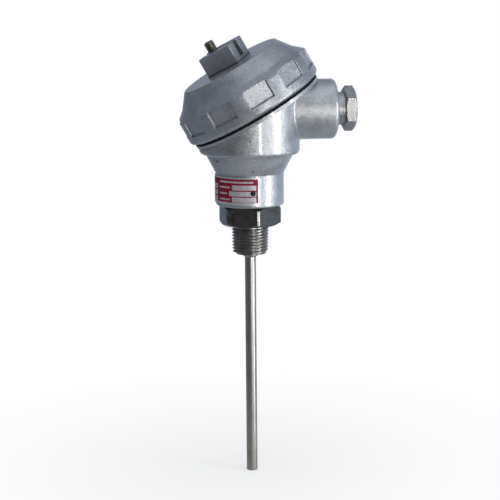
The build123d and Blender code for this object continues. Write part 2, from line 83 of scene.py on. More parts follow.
class Slot(str, Enum):
    """The record's material slots that the new pieces stand for."""

    NIPPLE = "nipple_steel"
    PLATE = "nameplate"
    DARK_STEEL = "blackened_steel"
    CASTING = "cast_aluminium"
    CAP = "cap_aluminium"


def tone(red: int, green: int, blue: int) -> Rgb:
    """Turn a display colour of 0 to 255 into the linear colour that a shader takes."""
    parts = [value / 255 for value in (red, green, blue)]
    return tuple(p / 12.92 if p <= 0.04045 else ((p + 0.055) / 1.055) ** 2.4 for p in parts)


WHITE = (1.0, 1.0, 1.0)
# Nearly all of a noise's values lie in this span
NOISE_SPAN = (0.3, 0.7)
PIT_SHADE = tone(60, 58, 56)
# Dark tone of the blots, and of the painted shade in the nooks
DARK_MARK_AND_SHADE = tone(46, 44, 44)


# Node trees


class Graph:
    """A node tree with short calls that add nodes and join them."""

    def __init__(self, tree: bpy.types.NodeTree) -> None:
        """Keep the tree that the nodes go into."""
        self.tree = tree

    def add(self, kind: str, inputs: Optional[dict] = None, **settings: object) -> Node:
        """Add a node.

        Args:
            kind: The node's type name.
            inputs: Values or sockets by the input's name or number.
            **settings: Properties to set on the node.

        Returns:
            The new node.
        """
        node = self.tree.nodes.new(kind)
        for name, value in settings.items():
            setattr(node, name, value)
        self.fill(node, inputs or {})
        return node

    def fill(self, node: Node, inputs: dict) -> None:
        """Give a node's inputs, by their names or numbers, their values or sockets."""
        for key, value in inputs.items():
            self.set(node.inputs[key], value)

    def set(self, target: Socket, value: Input) -> None:
        """Give an input a constant, or join another node's output to it.

        Args:
            target: The input.
            value: A number, a colour or vector, or a socket.
        """
        if isinstance(value, bpy.types.NodeSocket):
            self.tree.links.new(value, target)
        elif target.type == "RGBA" and len(value) == 3:
            target.default_value = (*value, 1.0)
        else:
            target.default_value = value

    def math(self, operation: str, first: Input, second: Input = 0.0) -> Socket:
        """Add a math node and give its value."""
        return self.add("ShaderNodeMath", {0: first, 1: second}, operation=operation).outputs[0]

    def vector(self, operation: str, first: Input, second: Input) -> Socket:
        """Add a vector math node, whose second input is the factor where it scales."""
        inputs = {0: first, "Scale" if operation == "SCALE" else 1: second}
        return self.add("ShaderNodeVectorMath", inputs, operation=operation).outputs[0]

    def place(self, stretch: Sequence[float] = (1.0, 1.0, 1.0)) -> Socket:
        """Give the surface point in millimetres, times factors that draw a pattern out below 1."""
        point = self.add("ShaderNodeTexCoord").outputs["Object"]
        return self.vector("MULTIPLY", point, tuple(value / MM for value in stretch))

    def noise(self, point: Socket, size: float, detail: float = 3.0, rough: float = 0.5) -> Socket:
        """Add a pattern about 0.5 with clouds of a size in millimetres and finer layers in them."""
        inputs = {"Vector": point, "Scale": 1 / size, "Detail": detail, "Roughness": rough}
        return self.add("ShaderNodeTexNoise", inputs).outputs[0]

    def cells(self, point: Socket, size: float, output: str = "Color") -> Socket:
        """Add a pattern of cells of a size in millimetres and give one of its outputs."""
        return self.add("ShaderNodeTexVoronoi", {"Vector": point, "Scale": 1 / size}).outputs[output]

    def span(self, value: Socket, low: float, high: float, first: float, last: float) -> Socket:
        """Map a value from the span low to high onto first to last, and clip it there."""
        node = self.add("ShaderNodeMapRange", {0: value, 1: low, 2: high, 3: first, 4: last})
        return node.outputs[0]

    def blend(self, share: Input, first: Input, second: Input, way: str = "MIX") -> Socket:
        """Blend a share of the second colour into the first, the way that a blend type says."""
        node = self.add("ShaderNodeMix", {0: share, 6: first, 7: second}, data_type="RGBA",
                        blend_type=way)
        return node.outputs[2]

    def bump(self, height: Socket, depth: float, strength: float = 1.0,
             normal: Optional[Socket] = None) -> Socket:
        """Turn a height into a surface normal.

        Args:
            height: The height, 0 to 1.
            depth: What a height of 1 is, in millimetres.
            strength: How much of the bump shows.
            normal: The normal to start from.

        Returns:
            The normal.
        """
        inputs = {"Height": height, "Distance": depth * MM, "Strength": strength}
        if normal is not None:
            inputs["Normal"] = normal
        return self.add("ShaderNodeBump", inputs).outputs[0]

    def flakes(self, point: Socket, size: float, lean: float) -> Socket:
        """Give a normal that leans another way in each small flake of a metallic coat.

        Args:
            point: The point in millimetres.
            size: Size of a flake in millimetres.
            lean: How far the flakes lean, 0 for none.

        Returns:
            The normal.
        """
        random = self.vector("SUBTRACT", self.cells(point, size), (0.5, 0.5, 0.5))
        normal = self.add("ShaderNodeNewGeometry").outputs["Normal"]
        leaned = self.vector("ADD", normal, self.vector("SCALE", random, lean))
        return self.vector("NORMALIZE", leaned, (0.0, 0.0, 0.0))


# Finishes


class Finish:
    """A surface finish. Its material is made once, when it is first asked for."""

    name: str

    def material(self) -> bpy.types.Material:
        """Find or make the finish's material.

        Returns:
            The material.
        """
        found = bpy.data.materials.get(self.name)
        if found is None:
            found = bpy.data.materials.new(self.name)
            found.use_nodes = True
            self.wire(Graph(found.node_tree), found.node_tree.nodes["Principled BSDF"])
        return found

    def wire(self, graph: Graph, shader: Node) -> None:
        """Join the nodes that make the finish to its shader."""
        raise NotImplementedError


@dataclass(frozen=True)
class SprayedCasting(Finish):
    """A cast alloy under a thin silver coat, with glinting flakes, painted glints, faint clouds,
    small pits and painted shade in its nooks.
    """

    name: str
    colour: Rgb
    shade: Rgb
    metallic: float = 0.85
    rough: Pair = (0.36, 0.46)
    flake: float = 0.6
    lean: float = 0.22
    glint: float = 0.35
    glint_span: Pair = (0.05, 0.3)
    cloud: float = 9.0
    shaded: Pair = (0.14, 0.36)
    grain: float = 0.9
    grain_depth: float = 0.02
    pits: float = 0.12
    pit_spacing: float = 5.5
    coat: float = 0.0
    coat_rough: float = 0.1
    nook_shade: float = 0.0
    nook: float = 2.0
    nook_span: Pair = (0.5, 0.85)
    blots: tuple[tuple[float, float, float, float], ...] = ()

    def marks(self, graph: Graph, point: Socket, grain: Socket, colour: Socket) -> Socket:
        """Lay the pits, the painted shade in the nooks and the blots over a colour.

        Args:
            graph: The material's node tree.
            point: The point in millimetres.
            grain: The grain, which breaks the painted shade up.
            colour: The clean colour.

        Returns:
            The marked colour.
        """
        if self.pits:
            pit = graph.cells(point, self.pit_spacing, "Distance")
            share = graph.span(pit, self.pits * 0.4, self.pits, 1.0, 0.0)
            colour = graph.blend(share, colour, PIT_SHADE)
        # Painted shade: where ambient occlusion finds the surface closed in, in creases and nooks,
        # the colour is darkened, broken up by the grain
        if self.nook_shade:
            open_share = graph.add("ShaderNodeAmbientOcclusion", {"Distance": self.nook * MM},
                                   samples=8, only_local=True).outputs["AO"]
            painted_shade = graph.span(open_share, *self.nook_span, self.nook_shade, 0.0)
            colour = graph.blend(graph.math("MULTIPLY", painted_shade, grain), colour, DARK_MARK_AND_SHADE)
        for *centre, size in self.blots:
            away = graph.add("ShaderNodeVectorMath", {0: point, 1: centre},
                             operation="DISTANCE").outputs["Value"]
            colour = graph.blend(graph.span(away, size * 0.5, size, 0.9, 0.0), colour, DARK_MARK_AND_SHADE)
        return colour

    def wire(self, graph: Graph, shader: Node) -> None:
        """Join the nodes that make the finish to its shader.

        Args:
            graph: The material's node tree.
            shader: The tree's shader.
        """
        point = graph.place()
        clouds = graph.noise(point, self.cloud, 4.0, 0.55)
        grain = graph.noise(point, self.grain, 2.0, 0.6)
        speck = graph.cells(point, self.flake * 0.8, "Distance")
        share = graph.span(graph.math("MULTIPLY", clouds, grain), *self.shaded, 1.0, 0.0)
        colour = graph.blend(share, self.colour, self.shade)
        # Painted glints: the colour is lightened toward white at the middle of each flake
        share = graph.span(speck, *self.glint_span, self.glint, 0.0)
        colour = graph.blend(share, colour, WHITE, "OVERLAY")
        normal = graph.bump(grain, self.grain_depth, 0.6, graph.flakes(point, self.flake, self.lean))
        graph.fill(shader, {
            "Base Color": self.marks(graph, point, grain, colour), "Normal": normal,
            "Roughness": graph.span(clouds, *NOISE_SPAN, *self.rough), "Metallic": self.metallic,
            "Coat Weight": self.coat, "Coat Roughness": self.coat_rough})


@dataclass(frozen=True)
class WornSteel(Finish):
    """Turned or drawn steel: fine marks one way, cloudy stains and a few scuffs."""

    name: str
    colour: Rgb
    stain: Rgb
    rough: Pair = (0.22, 0.36)
    grain: tuple[float, float, float] = (1.0, 1.0, 0.05)
    grain_size: float = 0.25
    grain_depth: float = 0.01
    cloud: float = 4.0
    stained: Pair = (0.45, 0.65)
    stain_share: float = 0.85
    speck_size: float = 0.5
    speck_span: Pair = (0.5, 0.75)
    specked: float = 0.5
    marked: Pair = (-0.03, 0.05)
    metallic: float = 1.0

    def wire(self, graph: Graph, shader: Node) -> None:
        """Join the nodes that make the finish to its shader.

        Args:
            graph: The material's node tree.
            shader: The tree's shader.
        """
        point = graph.place()
        clouds = graph.noise(point, self.cloud, 5.0, 0.6)
        marks = graph.noise(graph.place(self.grain), self.grain_size, 3.0, 0.6)
        specks = graph.noise(point, self.speck_size, 3.0, 0.7)
        share = graph.span(clouds, *self.stained, 0.0, self.stain_share)
        colour = graph.blend(share, self.colour, self.stain)
        share = graph.span(specks, *self.speck_span, 0.0, self.specked)
        colour = graph.blend(share, colour, self.stain)
        rough = graph.math("ADD", graph.span(clouds, *NOISE_SPAN, *self.rough),
                           graph.span(marks, *NOISE_SPAN, *self.marked))
        graph.fill(shader, {
            "Base Color": colour, "Normal": graph.bump(marks, self.grain_depth, 0.7),
            "Roughness": rough, "Metallic": self.metallic})


@dataclass(frozen=True)
class Plain(Finish):
    """A solid stuff such as rubber, ceramic or paint, clouded a little and with a fine grain."""

    name: str
    colour: Rgb
    shade: Rgb
    rough: Pair = (0.4, 0.6)
    grain: float = 0.5
    grain_depth: float = 0.02
    cloud: float = 6.0
    shaded: Pair = (0.35, 0.65)
    metallic: float = 0.0
    specular: float = 0.5
    coat: float = 0.0

    def wire(self, graph: Graph, shader: Node) -> None:
        """Join the nodes that make the finish to its shader.

        Args:
            graph: The material's node tree.
            shader: The tree's shader.
        """
        point = graph.place()
        clouds = graph.noise(point, self.cloud, 4.0, 0.6)
        grain = graph.noise(point, self.grain, 3.0, 0.6)
        colour = graph.blend(graph.span(clouds, *self.shaded, 0.0, 1.0), self.colour, self.shade)
        graph.fill(shader, {
            "Base Color": colour, "Normal": graph.bump(grain, self.grain_depth, 0.6),
            "Roughness": graph.span(grain, *NOISE_SPAN, *self.rough), "Metallic": self.metallic,
            "Specular IOR Level": self.specular, "Coat Weight": self.coat})


# Blowholes low on the left of the cone, a nick over the nameplate and a speck beside its corner,
# each a point in millimetres and a radius
CASTING_BLOTS = (
    (-20.4, -12.0, 38.0, 0.95), (-19.6, -13.2, 37.8, 0.9),
    (-0.9, -20.9, 32.9, 0.5), (-0.9, -20.6, 32.2, 0.45), (3.2, -19.2, 15.4, 0.65),
)
HOUSING_COAT = SprayedCasting(
    "housing_coat", tone(184, 186, 190), tone(152, 154, 157), rough=(0.42, 0.5), flake=0.4,
    lean=0.2, grain=0.7, grain_depth=0.012, pits=0.06, coat=0.8, nook_shade=1.0, blots=CASTING_BLOTS)
# The housing's silver coat made darker: the darker tone is painted shade for the cap's upward faces
# under the dimmer ceiling
CAP_COAT_SHADED = SprayedCasting(
    "cap_coat_shaded", tone(162, 165, 170), tone(136, 139, 145), metallic=0.75, rough=(0.38, 0.48),
    lean=0.12, grain_depth=0.008, pits=0.05, coat=0.5, coat_rough=0.28, nook_shade=1.9)
HEX_STEEL = WornSteel(
    "hexagon_steel", tone(148, 149, 148), tone(88, 86, 80), grain=(0.05, 0.05, 1.0),
    rough=(0.165, 0.25), cloud=3.5, stained=(0.42, 0.66), specked=0.35)
THREAD_STEEL = WornSteel(
    "thread_steel", tone(168, 166, 164), tone(108, 104, 98), grain=(0.05, 0.05, 1.0),
    rough=(0.28, 0.36), grain_depth=0.003, cloud=3.0, stained=(0.5, 0.75), specked=0.08)
SHEATH_STEEL = WornSteel(
    "sheath_steel_drawn", tone(177, 174, 170), tone(148, 143, 137), rough=(0.3, 0.36),
    grain_depth=0.0008, cloud=16.0, stained=(0.5, 0.8), specked=0.04)
GLAND_PLATING = SprayedCasting(
    "gland_plating", tone(188, 188, 188), tone(146, 146, 145), metallic=1.0, rough=(0.36, 0.46),
    flake=0.4, lean=0.26, cloud=3.0, grain=0.6, grain_depth=0.006, pits=0.0)
STUD_STEEL = WornSteel(
    "stud_steel", tone(146, 143, 138), tone(58, 56, 53), rough=(0.22, 0.36), cloud=1.6,
    stained=(0.5, 0.7), specked=0.3)
RIVET_STEEL = Plain(
    "rivet_steel", tone(46, 46, 50), tone(26, 26, 30), metallic=0.6, rough=(0.3, 0.5), cloud=1.0)
SCREW_STEEL = WornSteel(
    "screw_steel", tone(190, 188, 184), tone(140, 138, 132), rough=(0.2, 0.34), cloud=3.0)
RUBBER = Plain(
    "black_rubber_seal", tone(10, 10, 12), tone(18, 18, 20), rough=(0.7, 0.9), specular=0.15)
BRASS = WornSteel(
    "brass_bar", tone(214, 178, 104), tone(150, 112, 58), rough=(0.2, 0.35), cloud=5.0)
CERAMIC = Plain(
    "glazed_ceramic", tone(238, 234, 222), tone(226, 220, 206), rough=(0.12, 0.25), coat=0.4)
CORE_CERAMIC = Plain(
    "insulation_ceramic", tone(226, 220, 204), tone(206, 198, 180), rough=(0.6, 0.85))
WIRE = WornSteel(
    "wire_alloy_drawn", tone(170, 160, 148), tone(120, 110, 100), rough=(0.25, 0.4), cloud=2.0)
SEAL = Plain("seal_compound_cast", tone(70, 52, 40), tone(52, 40, 32), rough=(0.35, 0.6))
PLATE_METAL = WornSteel(
    "plate_metal", tone(196, 198, 202), tone(168, 170, 175), rough=(0.3, 0.42),
    grain=(0.2, 0.2, 1.0), cloud=5.0, metallic=0.55)
PLATE_RED = Plain(
    "plate_red_print", tone(126, 10, 44), tone(104, 8, 36), rough=(0.5, 0.65), grain_depth=0.006,
    cloud=3.0, specular=0.25)
PLATE_FIELD = Plain(
    "plate_field", tone(186, 182, 186), tone(162, 158, 163), rough=(0.34, 0.5), grain_depth=0.006,
    cloud=2.5, metallic=0.35)


# Meshes


@dataclass(frozen=True)
class Datum:
    """Where a turned piece stands: a point in millimetres and the directions of its axes."""

    origin: Vector = field(default_factory=lambda: Vector((0.0, 0.0, 0.0)))
    along: Vector = field(default_factory=lambda: Vector((0.0, 0.0, 1.0)))
    side: Vector = field(default_factory=lambda: Vector((1.0, 0.0, 0.0)))

    def matrix(self) -> Matrix:
        """Return the matrix from the piece's own millimetres to the frame's metres."""
        turn = Matrix((self.side, self.along.cross(self.side), self.along)).transposed().to_4x4()
        return Matrix.Scale(MM, 4) @ Matrix.Translation(self.origin) @ turn


# The slanted face of the housing, which the collar, the cap and its lug stand on
TILT = math.radians(30.0)
FACE_SHIFT, FACE_HEIGHT = 4.35, 62.7
FACE = Datum(
    Vector((FACE_SHIFT * math.cos(TILT), 0.0, FACE_HEIGHT + FACE_SHIFT * math.sin(TILT))),
    Vector((-math.sin(TILT), 0.0, math.cos(TILT))),
    Vector((math.cos(TILT), 0.0, math.sin(TILT))),
)


def direction(turn: float, rise: float = 0.0) -> Vector:
    """Give the direction of an azimuth and a height over the level, both in degrees."""
    level = math.cos(math.radians(rise))
    return Vector((math.cos(math.radians(turn)) * level, math.sin(math.radians(turn)) * level,
                   math.sin(math.radians(rise))))


def circle(count: int) -> Array:
    """Give the angles of one full turn of equal steps, first and last at the same place."""
    return np.linspace(0.0, 2 * math.pi, count + 1)


def ring(angles: Array, radius: Union[float, Array], height: Union[float, Array]) -> Array:
    """Give points about the Z axis, a row each, with one radius and height for all or one each."""
    parts = np.broadcast_arrays(radius * np.cos(angles), radius * np.sin(angles), height)
    return np.stack(parts, axis=1)


def arc(start: Pair, end: Pair, bulge: float, steps: int = 6) -> list[Pair]:
    """Give the points of a shallow arc in a profile.

    Args:
        start: First point.
        end: Last point.
        bulge: How far the middle stands off the straight line, to the right of the way.
        steps: How many steps the arc has.

    Returns:
        The points, both ends among them.
    """
    way = np.subtract(end, start)
    off = np.array([way[1], -way[0]]) / max(float(np.hypot(*way)), 1e-9)
    shares = np.linspace(0.0, 1.0, steps + 1)
    points = [np.add(start, way * s) + off * bulge * math.sin(math.pi * s) for s in shares]
    return [(float(p[0]), float(p[1])) for p in points]


class Stack:
    """A mesh grown as a stack of rings."""

    def __init__(self, angles: Array) -> None:
        """Start with the angles that the rings share."""
        self.angles = angles
        self.rings: list[Array] = []

    def turn(self, *points: Pair) -> "Stack":
        """Add a round ring for each (radius, height)."""
        self.rings += [ring(self.angles, radius, height) for radius, height in points]
        return self

    def put(self, points: Array) -> "Stack":
        """Add a ring of any shape."""
        self.rings.append(points)
        return self

    def make(self, name: str, datum: Datum, loop: bool = False, sharp: float = 30.0) -> Piece:
        """Make the object.

        Args:
            name: The object's name.
            datum: Where it stands.
            loop: Whether the last ring joins the first, as in a hollow piece.
            sharp: Edges that turn by more than this many degrees stay sharp.

        Returns:
            The object.
        """
        rows, columns = len(self.rings), len(self.angles)
        if loop:
            self.rings.append(self.rings[0])
        points = np.concatenate(self.rings)
        mesh = bmesh.new()
        verts = [mesh.verts.new(point) for point in points]
        for row in range(len(self.rings) - 1):
            low, high = row * columns, (row + 1) * columns
            for column in range(columns - 1):
                corners = (low + column, low + column + 1, high + column + 1, high + column)
                mesh.faces.new([verts[corner] for corner in corners])
        if not loop:
            last = (rows - 1) * columns
            mesh.faces.new([verts[i] for i in range(columns - 2, -1, -1)])
            mesh.faces.new([verts[last + i] for i in range(columns - 1)])
        bmesh.ops.remove_doubles(mesh, verts=mesh.verts, dist=1e-4)
        bmesh.ops.dissolve_degenerate(mesh, edges=mesh.edges, dist=1e-4)
        bmesh.ops.recalc_face_normals(mesh, faces=mesh.faces)
        mesh.transform(datum.matrix())
        return finish_mesh(name, mesh, sharp)


def show(name: str, data: bpy.types.ID) -> Piece:
    """Put a mesh, a lamp or a camera into the scene as an object.

    Args:
        name: The object's name.
        data: What it shows.

    Returns:
        The object.
    """
    made = bpy.data.objects.new(name, data)
    bpy.context.scene.collection.objects.link(made)
    return made


def finish_mesh(name: str, mesh: bmesh.types.BMesh, sharp: float) -> Piece:
    """Turn a mesh in the making into an object in the scene, shaded smooth.

    Args:
        name: The object's name.
        mesh: The mesh, in the frame's metres.
        sharp: Edges that turn by more than this many degrees stay sharp.

    Returns:
        The object.
    """
    data = bpy.data.meshes.new(name)
    mesh.to_mesh(data)
    mesh.free()
    data.shade_smooth()
    data.set_sharp_from_angle(angle=math.radians(sharp))
    return show(name, data)


def combine(piece: Piece, tool: Piece, way: str) -> None:
    """Cut a piece with a tool or join the two, and take the tool away.

    Args:
        piece: The piece that is changed.
        tool: The other solid.
        way: DIFFERENCE to cut or UNION to join.
    """
    modifier = piece.modifiers.new("combine", "BOOLEAN")
    modifier.operation, modifier.object, modifier.solver = way, tool, "EXACT"
    bpy.context.view_layer.objects.active = piece
    bpy.ops.object.modifier_apply(modifier=modifier.name)
    bpy.data.objects.remove(tool)


def dress(piece: Piece, finish: Finish) -> None:
    """Give a piece one finish all over."""
    piece.data.materials.clear()
    piece.data.materials.append(finish.material())


def settle(piece: Piece, body: Body, slot: Slot, *nodes: str) -> None:
    """Fix a new piece to its body and hide the frame's nodes that it stands for.

    Args:
        piece: The piece, in place.
        body: The body it rides on.
        slot: The record's material slot that it stands for; not used.
        *nodes: Names of the frame's nodes that it stands for.
    """
    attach(piece, body.value)
    if nodes:
        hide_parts(*nodes)


@dataclass(frozen=True)
class Thread:
    """A right-handed V thread with flats at crest and root."""

    pitch: float
    depth: float
    flat: float = 0.1

    def rows(self, angles: Array, low: float, high: float,
             crest: Callable[[Array], Array]) -> list[Array]:
        """Give the rings of the thread between two heights.

        Args:
            angles: Angle of each point of a ring.
            low: Height where it starts.
            high: Height where it ends.
            crest: Gives the radius over the crests at a height.

        Returns:
            The rings, from the bottom up.
        """
        corners = (0.0, self.flat, 0.5, 0.5 + self.flat)
        turns = (angles - angles[0]) / (2 * math.pi)
        first, last = math.floor(low / self.pitch) - 1, math.ceil(high / self.pitch) + 1
        rings = []
        for step in range(first, last):
            for corner in corners:
                height = np.clip(self.pitch * (step + corner + turns), low, high)
                phase = np.mod(height / self.pitch - turns, 1.0)
                cut = np.interp(phase, (*corners, 1.0), (0.0, 0.0, 1.0, 1.0, 0.0))
                rings.append(ring(angles, crest(height) - self.depth * cut, height))
        return rings


# Sub-assemblies


@dataclass
class Nipple:
    """The steel nipple: hexagon, a tapered pipe thread each way and the weld round the sheath."""

    across_flats: float = 32.0
    hex_height: float = 11.5
    corner_turn: float = 37.1
    corner_flat: float = 0.35
    corner_blunt: float = 1.15
    face_radius: float = 15.4
    chamfer: float = 1.9
    thread: Thread = Thread(pitch=1.814, depth=1.2)
    crest_radius: float = 10.67
    taper: float = 1 / 16
    length: float = 16.8
    end_chamfer: float = 1.3
    end_step: float = 0.4
    relief: Pair = (10.2, 1.3)
    upper_length: float = 13.0
    weld: Pair = (5.2, 2.0)
    weld_lip: float = 0.3
    weld_bulge: float = 0.12
    spigot_radius: float = 2.95
    sheath_radius: float = 3.175
    bore: Pair = (6.5, 2.0)
    steps: int = 24

    def hexagon(self, angles: Array) -> Array:
        """Give the hexagon's radius at each angle, its corners blunted.

        Args:
            angles: The angles.

        Returns:
            The radii.
        """
        sixth = math.pi / 3
        off = np.mod(angles - math.radians(self.corner_turn), sixth) - sixth / 2
        corner = self.across_flats / math.sqrt(3) - self.corner_flat
        return np.minimum(self.across_flats / 2 / np.cos(off), corner)

    def lower_crest(self, height: Array) -> Array:
        """Give the radius over the lower thread's crests, with the chamfer at its end.

        Args:
            height: Heights along the thread.

        Returns:
            The radii.
        """
        taper = self.crest_radius + height * self.taper / 2
        end = self.crest_radius - self.length * self.taper / 2 - self.end_chamfer
        return np.minimum(taper, end + (height + self.length))

    def upper_crest(self, height: Array) -> Array:
        """Give the radius over the upper thread's crests."""
        return self.crest_radius - (height - self.hex_height) * self.taper / 2

    def build(self) -> list[Piece]:
        """Build the nipple.

        Returns:
            The one piece.
        """
        blunt = math.radians(self.corner_blunt)
        sector = 2 * math.pi / 6
        angles = np.concatenate([
            [corner * sector - blunt, corner * sector + blunt,
             *(corner * sector + np.linspace(0, sector, self.steps)[1:-1])]
            for corner in range(6)
        ] + [[6 * sector - blunt]]) + math.radians(self.corner_turn)
        bottom = -self.length
        weld_radius, weld_length = self.weld
        relief_radius, relief_length = self.relief
        foot = (self.sheath_radius + self.weld_lip, bottom - weld_length)
        stack = Stack(angles).turn((self.spigot_radius, foot[1]))
        stack.turn(*arc(foot, (weld_radius, bottom), self.weld_bulge))
        end = float(self.lower_crest(np.array(bottom)))
        stack.turn((end - self.thread.depth - self.end_step, bottom))
        stack.rings += self.thread.rows(angles, bottom, -relief_length, self.lower_crest)
        stack.turn((relief_radius, -relief_length), (relief_radius, 0.0), (self.face_radius, 0.0))
        flat = self.hexagon(angles)
        corner = self.across_flats / math.sqrt(3)
        rise = self.chamfer * (flat - self.face_radius) / (corner - self.face_radius)
        for height in (rise, self.hex_height - rise):
            stack.put(ring(angles, flat, height))
        stack.turn((self.face_radius, self.hex_height),
                   (float(self.upper_crest(np.array(self.hex_height))), self.hex_height))
        top = self.hex_height + self.upper_length
        stack.rings += self.thread.rows(angles, self.hex_height, top, self.upper_crest)
        bore_radius, bore_floor = self.bore
        stack.turn((bore_radius, top), (bore_radius, bore_floor), (self.spigot_radius, bore_floor))
        piece = stack.make("nipple", Datum(), loop=True)
        dress(piece, HEX_STEEL)
        piece.data.materials.append(THREAD_STEEL.material())
        for face in piece.data.polygons:
            face.material_index = int(not 0.0 <= face.center.z / MM <= self.hex_height)
        settle(piece, Body.HEAD, Slot.NIPPLE, "hex_nipple")
        return [piece]


@dataclass
class Nameplate:
    """The printed plate rolled round the neck, with plain fields and no words."""

    radius: float = 19.4
    thickness: float = 0.5
    bottom: float = 13.4
    top: float = 29.0
    arc: Pair = (136.0, 281.0)
    print_arc: Pair = (141.2, 275.8)
    print_heights: Pair = (14.95, 28.17)
    title: Pair = (25.9, 26.9)
    title_arc: Pair = (206.0, 268.0)
    rows: tuple[Pair, ...] = ((15.18, 18.0), (18.56, 21.26), (21.94, 24.75))
    box_starts: tuple[float, ...] = (232.4, 226.9, 232.4)
    box_end: float = 272.9
    bar_start: float = 205.0
    bar_gap: float = 4.0
    bar_half: float = 0.45
    rear_box: Pair = (158.0, 198.0)
    rear_bar: Pair = (146.0, 154.0)
    step: float = 1.5

    def fields(self) -> list[tuple[float, float, float, float, int]]:
        """List the printed areas, later ones over earlier ones.

        Returns:
            For each area its first and last angle, its bottom and top and its finish's number.
        """
        areas = [(*self.print_arc, *self.print_heights, 1), (*self.title_arc, *self.title, 2)]
        for (low, high), start in zip(self.rows, self.box_starts):
            middle = (low + high) / 2
            bar = (middle - self.bar_half, middle + self.bar_half, 2)
            areas += [(start, self.box_end, low, high, 2),
                      (self.bar_start, start - self.bar_gap, *bar),
                      (*self.rear_box, low, high, 2), (*self.rear_bar, *bar)]
        return areas

    def build(self) -> list[Piece]:
        """Build the plate.

        Returns:
            The one piece.
        """
        areas = self.fields()
        turns = {*self.arc, *(value for area in areas for value in area[:2])}
        turns |= set(np.arange(self.arc[0], self.arc[1], self.step).tolist())
        levels = sorted({self.bottom, self.top, *(v for area in areas for v in area[2:4])})
        turns = sorted(turns)
        mesh = bmesh.new()
        out, back = [[[mesh.verts.new(point) for point in ring(np.radians(turns), radius, level) * MM]
                      for level in levels] for radius in (self.radius + self.thickness, self.radius)]
        for row in range(len(levels) - 1):
            for column in range(len(turns) - 1):
                turn = (turns[column] + turns[column + 1]) / 2
                level = (levels[row] + levels[row + 1]) / 2
                face, _ = [mesh.faces.new((grid[row][column], grid[row][column + 1],
                                           grid[row + 1][column + 1], grid[row + 1][column]))
                           for grid in (out, back)]
                for start, end, low, high, number in areas:
                    if start < turn < end and low < level < high:
                        face.material_index = number
        rim = [(row, 0) for row in range(len(levels))]
        rim += [(len(levels) - 1, column) for column in range(1, len(turns))]
        rim += [(row, len(turns) - 1) for row in range(len(levels) - 2, -1, -1)]
        rim += [(0, column) for column in range(len(turns) - 2, 0, -1)]
        for (row, column), (next_row, next_column) in zip(rim, rim[1:] + rim[:1]):
            mesh.faces.new((out[row][column], out[next_row][next_column],
                            back[next_row][next_column], back[row][column]))
        bmesh.ops.recalc_face_normals(mesh, faces=mesh.faces)
        piece = finish_mesh("nameplate_printed", mesh, 40.0)
        for finish in (PLATE_METAL, PLATE_RED, PLATE_FIELD):
            piece.data.materials.append(finish.material())
        settle(piece, Body.HEAD, Slot.PLATE, "nameplate")
        return [piece]


@dataclass
class Rivets:
    """The two domed rivets that hold the nameplate."""

    head_radius: float = 1.5
    head_height: float = 0.75
    shank_radius: float = 1.2
    shank: float = 3.0
    steps: int = 32
    dome: tuple[float, ...] = (0.35, 0.6, 0.8, 0.93, 1.0)
    tip: float = 0.02
    surface: float = 19.95
    height: float = 20.3
    angles: dict[str, float] = field(default_factory=lambda: {
        "nameplate_rivet_rear": 149.0, "nameplate_rivet_front": 268.0})

    def build(self) -> list[Piece]:
        """Build both rivets.

        Returns:
            The pieces.
        """
        pieces = []
        for node, angle in self.angles.items():
            out = direction(angle)
            datum = Datum(out * self.surface + Vector((0, 0, self.height)), out, Vector((0, 0, 1)))
            stack = Stack(circle(self.steps))
            stack.turn((self.shank_radius, -self.shank), (self.shank_radius, 0.0),
                       (self.head_radius, 0.0))
            for share in self.dome:
                turn = share * math.pi / 2
                stack.turn((self.head_radius * math.cos(turn) + self.tip,
                            self.head_height * math.sin(turn)))
            piece = stack.make(node + "_domed", datum)
            dress(piece, RIVET_STEEL)
            settle(piece, Body.HEAD, Slot.DARK_STEEL, node)
            pieces.append(piece)
        return pieces


@dataclass
class LugStud:
    """The threaded stud that stands in the cap's lug, slotted at its end."""

    radius: float = 3.0
    thread: Thread = Thread(pitch=1.0, depth=0.5)
    turn: float = -32.0
    offset: float = -4.3
    bottom: float = 29.5
    top: float = 46.6
    edge: float = 0.6
    slot: Pair = (1.0, 1.2)
    steps: int = 48

    def crest(self, height: Array) -> Array:
        """Give the radius over the crests, chamfered at both ends."""
        ends = np.minimum(height - self.bottom, self.top - height)
        return np.minimum(self.radius, self.radius - self.edge + ends)

    def build(self) -> list[Piece]:
        """Build the stud.

        Returns:
            The one piece.
        """
        turn = Matrix.Rotation(math.radians(self.turn), 3, FACE.along)
        side = turn @ FACE.side
        datum = Datum(FACE.origin + side * self.offset, FACE.along, side)
        stack = Stack(circle(self.steps))
        stack.rings += self.thread.rows(stack.angles, self.bottom, self.top, self.crest)
        piece = stack.make("lug_stud", datum, sharp=35.0)
        width, depth = self.slot
        cutter = bmesh.new()
        bmesh.ops.create_cube(cutter, size=1.0)
        cutter.transform(datum.matrix() @ Matrix.Translation((0, 0, self.top))
                         @ Matrix.Diagonal((3 * self.radius, width, 2 * depth, 1)))
        combine(piece, finish_mesh("slot_cutter", cutter, 30.0), "DIFFERENCE")
        dress(piece, STUD_STEEL)
        settle(piece, Body.CAP, Slot.DARK_STEEL, "cap_lug_screw")
        return [piece]


